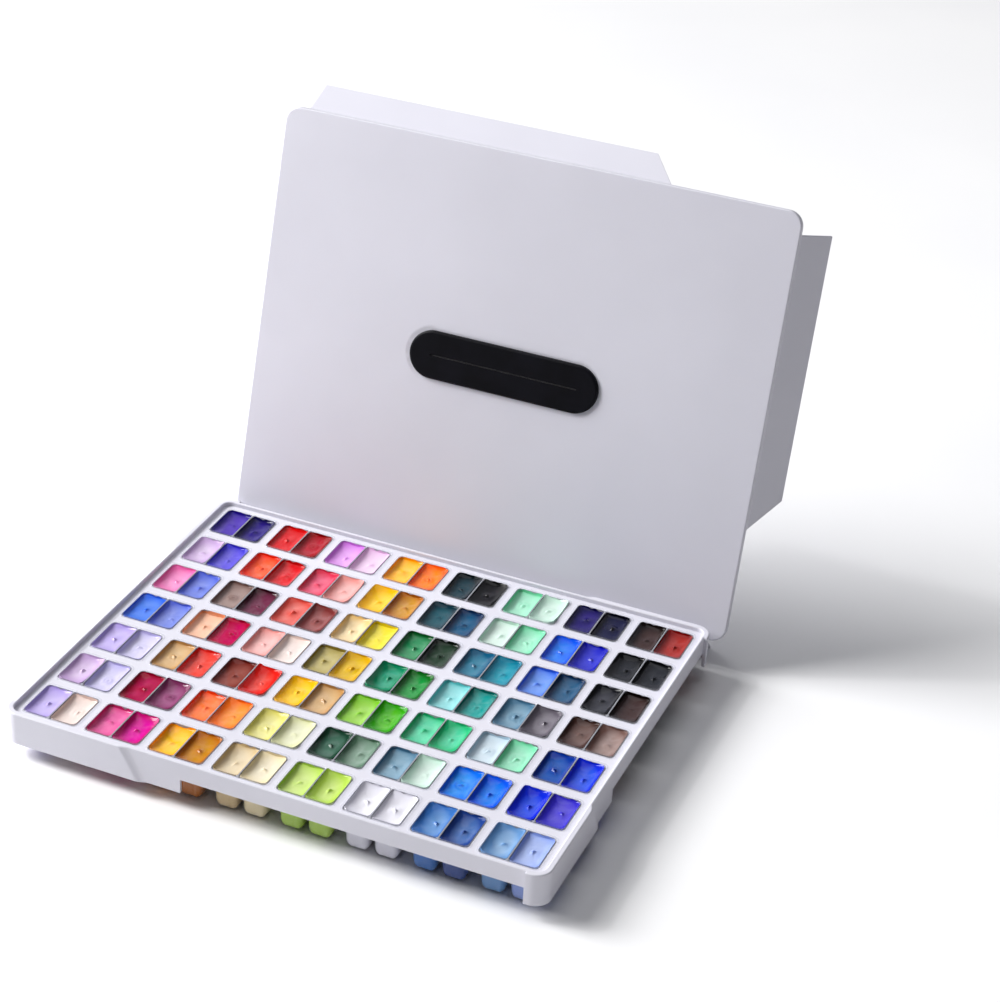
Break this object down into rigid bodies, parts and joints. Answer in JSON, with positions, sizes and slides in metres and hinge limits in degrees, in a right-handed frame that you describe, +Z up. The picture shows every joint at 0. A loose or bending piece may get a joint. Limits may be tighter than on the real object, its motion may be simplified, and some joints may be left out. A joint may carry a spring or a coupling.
{
  "type": "gouache paint set box",
  "caption": "Flat open case with a grid of lift-out twin paint cups and a loose lid with splayed flaps and a slotted rubber pad, standing behind it.",
  "frame": {"origin": "middle of the ground area that the tray and the standing lid take up together", "axes": "+Z up; +Y from the front of the tray towards the lid standing behind it; +X to the right as seen from the front"},
  "size_m": [0.376, 0.3822, 0.2941],
  "materials": {
    "white_case": "semi-gloss moulded white plastic",
    "black_rubber": "matte black rubber",
    "filled_cup": "clear plastic cup filled with wet, glossy paint"
  },
  "bodies": {
    "tray": {"tray": "white_case"},
    "lid": {"lid": "white_case", "slotted_pad": "black_rubber"},
    "cup_r1_c1": {"twin_cup_r1_c1": "filled_cup"},
    "cup_r1_c2": {"twin_cup_r1_c2": "filled_cup"},
    "cup_r1_c3": {"twin_cup_r1_c3": "filled_cup"},
    "cup_r1_c4": {"twin_cup_r1_c4": "filled_cup"},
    "cup_r1_c5": {"twin_cup_r1_c5": "filled_cup"},
    "cup_r1_c6": {"twin_cup_r1_c6": "filled_cup"},
    "cup_r1_c7": {"twin_cup_r1_c7": "filled_cup"},
    "cup_r1_c8": {"twin_cup_r1_c8": "filled_cup"},
    "cup_r2_c1": {"twin_cup_r2_c1": "filled_cup"},
    "cup_r2_c2": {"twin_cup_r2_c2": "filled_cup"},
    "cup_r2_c3": {"twin_cup_r2_c3": "filled_cup"},
    "cup_r2_c4": {"twin_cup_r2_c4": "filled_cup"},
    "cup_r2_c5": {"twin_cup_r2_c5": "filled_cup"},
    "cup_r2_c6": {"twin_cup_r2_c6": "filled_cup"},
    "cup_r2_c7": {"twin_cup_r2_c7": "filled_cup"},
    "cup_r2_c8": {"twin_cup_r2_c8": "filled_cup"},
    "cup_r3_c1": {"twin_cup_r3_c1": "filled_cup"},
    "cup_r3_c2": {"twin_cup_r3_c2": "filled_cup"},
    "cup_r3_c3": {"twin_cup_r3_c3": "filled_cup"},
    "cup_r3_c4": {"twin_cup_r3_c4": "filled_cup"},
    "cup_r3_c5": {"twin_cup_r3_c5": "filled_cup"},
    "cup_r3_c6": {"twin_cup_r3_c6": "filled_cup"},
    "cup_r3_c7": {"twin_cup_r3_c7": "filled_cup"},
    "cup_r3_c8": {"twin_cup_r3_c8": "filled_cup"},
    "cup_r4_c1": {"twin_cup_r4_c1": "filled_cup"},
    "cup_r4_c2": {"twin_cup_r4_c2": "filled_cup"},
    "cup_r4_c3": {"twin_cup_r4_c3": "filled_cup"},
    "cup_r4_c4": {"twin_cup_r4_c4": "filled_cup"},
    "cup_r4_c5": {"twin_cup_r4_c5": "filled_cup"},
    "cup_r4_c6": {"twin_cup_r4_c6": "filled_cup"},
    "cup_r4_c7": {"twin_cup_r4_c7": "filled_cup"},
    "cup_r4_c8": {"twin_cup_r4_c8": "filled_cup"},
    "cup_r5_c1": {"twin_cup_r5_c1": "filled_cup"},
    "cup_r5_c2": {"twin_cup_r5_c2": "filled_cup"},
    "cup_r5_c3": {"twin_cup_r5_c3": "filled_cup"},
    "cup_r5_c4": {"twin_cup_r5_c4": "filled_cup"},
    "cup_r5_c5": {"twin_cup_r5_c5": "filled_cup"},
    "cup_r5_c6": {"twin_cup_r5_c6": "filled_cup"},
    "cup_r5_c7": {"twin_cup_r5_c7": "filled_cup"},
    "cup_r5_c8": {"twin_cup_r5_c8": "filled_cup"},
    "cup_r6_c1": {"twin_cup_r6_c1": "filled_cup"},
    "cup_r6_c2": {"twin_cup_r6_c2": "filled_cup"},
    "cup_r6_c3": {"twin_cup_r6_c3": "filled_cup"},
    "cup_r6_c4": {"twin_cup_r6_c4": "filled_cup"},
    "cup_r6_c5": {"twin_cup_r6_c5": "filled_cup"},
    "cup_r6_c6": {"twin_cup_r6_c6": "filled_cup"},
    "cup_r6_c7": {"twin_cup_r6_c7": "filled_cup"},
    "cup_r6_c8": {"twin_cup_r6_c8": "filled_cup"},
    "cup_r7_c1": {"twin_cup_r7_c1": "filled_cup"},
    "cup_r7_c2": {"twin_cup_r7_c2": "filled_cup"},
    "cup_r7_c3": {"twin_cup_r7_c3": "filled_cup"},
    "cup_r7_c4": {"twin_cup_r7_c4": "filled_cup"},
    "cup_r7_c5": {"twin_cup_r7_c5": "filled_cup"},
    "cup_r7_c6": {"twin_cup_r7_c6": "filled_cup"},
    "cup_r7_c7": {"twin_cup_r7_c7": "filled_cup"},
    "cup_r7_c8": {"twin_cup_r7_c8": "filled_cup"}
  },
  "joints": [
    {"name": "lid_lift", "type": "slide", "parent": "tray", "child": "lid", "axis": [0, 0, 1], "range_m": [0, 0.32]},
    {"name": "cup_r1_c1_lift", "type": "slide", "parent": "tray", "child": "cup_r1_c1", "axis": [0, 0, 1], "range_m": [0, 0.032]},
    {"name": "cup_r1_c2_lift", "type": "slide", "parent": "tray", "child": "cup_r1_c2", "axis": [0, 0, 1], "range_m": [0, 0.032]},
    {"name": "cup_r1_c3_lift", "type": "slide", "parent": "tray", "child": "cup_r1_c3", "axis": [0, 0, 1], "range_m": [0, 0.032]},
    {"name": "cup_r1_c4_lift", "type": "slide", "parent": "tray", "child": "cup_r1_c4", "axis": [0, 0, 1], "range_m": [0, 0.032]},
    {"name": "cup_r1_c5_lift", "type": "slide", "parent": "tray", "child": "cup_r1_c5", "axis": [0, 0, 1], "range_m": [0, 0.032]},
    {"name": "cup_r1_c6_lift", "type": "slide", "parent": "tray", "child": "cup_r1_c6", "axis": [0, 0, 1], "range_m": [0, 0.032]},
    {"name": "cup_r1_c7_lift", "type": "slide", "parent": "tray", "child": "cup_r1_c7", "axis": [0, 0, 1], "range_m": [0, 0.032]},
    {"name": "cup_r1_c8_lift", "type": "slide", "parent": "tray", "child": "cup_r1_c8", "axis": [0, 0, 1], "range_m": [0, 0.032]},
    {"name": "cup_r2_c1_lift", "type": "slide", "parent": "tray", "child": "cup_r2_c1", "axis": [0, 0, 1], "range_m": [0, 0.032]},
    {"name": "cup_r2_c2_lift", "type": "slide", "parent": "tray", "child": "cup_r2_c2", "axis": [0, 0, 1], "range_m": [0, 0.032]},
    {"name": "cup_r2_c3_lift", "type": "slide", "parent": "tray", "child": "cup_r2_c3", "axis": [0, 0, 1], "range_m": [0, 0.032]},
    {"name": "cup_r2_c4_lift", "type": "slide", "parent": "tray", "child": "cup_r2_c4", "axis": [0, 0, 1], "range_m": [0, 0.032]},
    {"name": "cup_r2_c5_lift", "type": "slide", "parent": "tray", "child": "cup_r2_c5", "axis": [0, 0, 1], "range_m": [0, 0.032]},
    {"name": "cup_r2_c6_lift", "type": "slide", "parent": "tray", "child": "cup_r2_c6", "axis": [0, 0, 1], "range_m": [0, 0.032]},
    {"name": "cup_r2_c7_lift", "type": "slide", "parent": "tray", "child": "cup_r2_c7", "axis": [0, 0, 1], "range_m": [0, 0.032]},
    {"name": "cup_r2_c8_lift", "type": "slide", "parent": "tray", "child": "cup_r2_c8", "axis": [0, 0, 1], "range_m": [0, 0.032]},
    {"name": "cup_r3_c1_lift", "type": "slide", "parent": "tray", "child": "cup_r3_c1", "axis": [0, 0, 1], "range_m": [0, 0.032]},
    {"name": "cup_r3_c2_lift", "type": "slide", "parent": "tray", "child": "cup_r3_c2", "axis": [0, 0, 1], "range_m": [0, 0.032]},
    {"name": "cup_r3_c3_lift", "type": "slide", "parent": "tray", "child": "cup_r3_c3", "axis": [0, 0, 1], "range_m": [0, 0.032]},
    {"name": "cup_r3_c4_lift", "type": "slide", "parent": "tray", "child": "cup_r3_c4", "axis": [0, 0, 1], "range_m": [0, 0.032]},
    {"name": "cup_r3_c5_lift", "type": "slide", "parent": "tray", "child": "cup_r3_c5", "axis": [0, 0, 1], "range_m": [0, 0.032]},
    {"name": "cup_r3_c6_lift", "type": "slide", "parent": "tray", "child": "cup_r3_c6", "axis": [0, 0, 1], "range_m": [0, 0.032]},
    {"name": "cup_r3_c7_lift", "type": "slide", "parent": "tray", "child": "cup_r3_c7", "axis": [0, 0, 1], "range_m": [0, 0.032]},
    {"name": "cup_r3_c8_lift", "type": "slide", "parent": "tray", "child": "cup_r3_c8", "axis": [0, 0, 1], "range_m": [0, 0.032]},
    {"name": "cup_r4_c1_lift", "type": "slide", "parent": "tray", "child": "cup_r4_c1", "axis": [0, 0, 1], "range_m": [0, 0.032]},
    {"name": "cup_r4_c2_lift", "type": "slide", "parent": "tray", "child": "cup_r4_c2", "axis": [0, 0, 1], "range_m": [0, 0.032]},
    {"name": "cup_r4_c3_lift", "type": "slide", "parent": "tray", "child": "cup_r4_c3", "axis": [0, 0, 1], "range_m": [0, 0.032]},
    {"name": "cup_r4_c4_lift", "type": "slide", "parent": "tray", "child": "cup_r4_c4", "axis": [0, 0, 1], "range_m": [0, 0.032]},
    {"name": "cup_r4_c5_lift", "type": "slide", "parent": "tray", "child": "cup_r4_c5", "axis": [0, 0, 1], "range_m": [0, 0.032]},
    {"name": "cup_r4_c6_lift", "type": "slide", "parent": "tray", "child": "cup_r4_c6", "axis": [0, 0, 1], "range_m": [0, 0.032]},
    {"name": "cup_r4_c7_lift", "type": "slide", "parent": "tray", "child": "cup_r4_c7", "axis": [0, 0, 1], "range_m": [0, 0.032]},
    {"name": "cup_r4_c8_lift", "type": "slide", "parent": "tray", "child": "cup_r4_c8", "axis": [0, 0, 1], "range_m": [0, 0.032]},
    {"name": "cup_r5_c1_lift", "type": "slide", "parent": "tray", "child": "cup_r5_c1", "axis": [0, 0, 1], "range_m": [0, 0.032]},
    {"name": "cup_r5_c2_lift", "type": "slide", "parent": "tray", "child": "cup_r5_c2", "axis": [0, 0, 1], "range_m": [0, 0.032]},
    {"name": "cup_r5_c3_lift", "type": "slide", "parent": "tray", "child": "cup_r5_c3", "axis": [0, 0, 1], "range_m": [0, 0.032]},
    {"name": "cup_r5_c4_lift", "type": "slide", "parent": "tray", "child": "cup_r5_c4", "axis": [0, 0, 1], "range_m": [0, 0.032]},
    {"name": "cup_r5_c5_lift", "type": "slide", "parent": "tray", "child": "cup_r5_c5", "axis": [0, 0, 1], "range_m": [0, 0.032]},
    {"name": "cup_r5_c6_lift", "type": "slide", "parent": "tray", "child": "cup_r5_c6", "axis": [0, 0, 1], "range_m": [0, 0.032]},
    {"name": "cup_r5_c7_lift", "type": "slide", "parent": "tray", "child": "cup_r5_c7", "axis": [0, 0, 1], "range_m": [0, 0.032]},
    {"name": "cup_r5_c8_lift", "type": "slide", "parent": "tray", "child": "cup_r5_c8", "axis": [0, 0, 1], "range_m": [0, 0.032]},
    {"name": "cup_r6_c1_lift", "type": "slide", "parent": "tray", "child": "cup_r6_c1", "axis": [0, 0, 1], "range_m": [0, 0.032]},
    {"name": "cup_r6_c2_lift", "type": "slide", "parent": "tray", "child": "cup_r6_c2", "axis": [0, 0, 1], "range_m": [0, 0.032]},
    {"name": "cup_r6_c3_lift", "type": "slide", "parent": "tray", "child": "cup_r6_c3", "axis": [0, 0, 1], "range_m": [0, 0.032]},
    {"name": "cup_r6_c4_lift", "type": "slide", "parent": "tray", "child": "cup_r6_c4", "axis": [0, 0, 1], "range_m": [0, 0.032]},
    {"name": "cup_r6_c5_lift", "type": "slide", "parent": "tray", "child": "cup_r6_c5", "axis": [0, 0, 1], "range_m": [0, 0.032]},
    {"name": "cup_r6_c6_lift", "type": "slide", "parent": "tray", "child": "cup_r6_c6", "axis": [0, 0, 1], "range_m": [0, 0.032]},
    {"name": "cup_r6_c7_lift", "type": "slide", "parent": "tray", "child": "cup_r6_c7", "axis": [0, 0, 1], "range_m": [0, 0.032]},
    {"name": "cup_r6_c8_lift", "type": "slide", "parent": "tray", "child": "cup_r6_c8", "axis": [0, 0, 1], "range_m": [0, 0.032]},
    {"name": "cup_r7_c1_lift", "type": "slide", "parent": "tray", "child": "cup_r7_c1", "axis": [0, 0, 1], "range_m": [0, 0.032]},
    {"name": "cup_r7_c2_lift", "type": "slide", "parent": "tray", "child": "cup_r7_c2", "axis": [0, 0, 1], "range_m": [0, 0.032]},
    {"name": "cup_r7_c3_lift", "type": "slide", "parent": "tray", "child": "cup_r7_c3", "axis": [0, 0, 1], "range_m": [0, 0.032]},
    {"name": "cup_r7_c4_lift", "type": "slide", "parent": "tray", "child": "cup_r7_c4", "axis": [0, 0, 1], "range_m": [0, 0.032]},
    {"name": "cup_r7_c5_lift", "type": "slide", "parent": "tray", "child": "cup_r7_c5", "axis": [0, 0, 1], "range_m": [0, 0.032]},
    {"name": "cup_r7_c6_lift", "type": "slide", "parent": "tray", "child": "cup_r7_c6", "axis": [0, 0, 1], "range_m": [0, 0.032]},
    {"name": "cup_r7_c7_lift", "type": "slide", "parent": "tray", "child": "cup_r7_c7", "axis": [0, 0, 1], "range_m": [0, 0.032]},
    {"name": "cup_r7_c8_lift", "type": "slide", "parent": "tray", "child": "cup_r7_c8", "axis": [0, 0, 1], "range_m": [0, 0.032]}
  ]
}
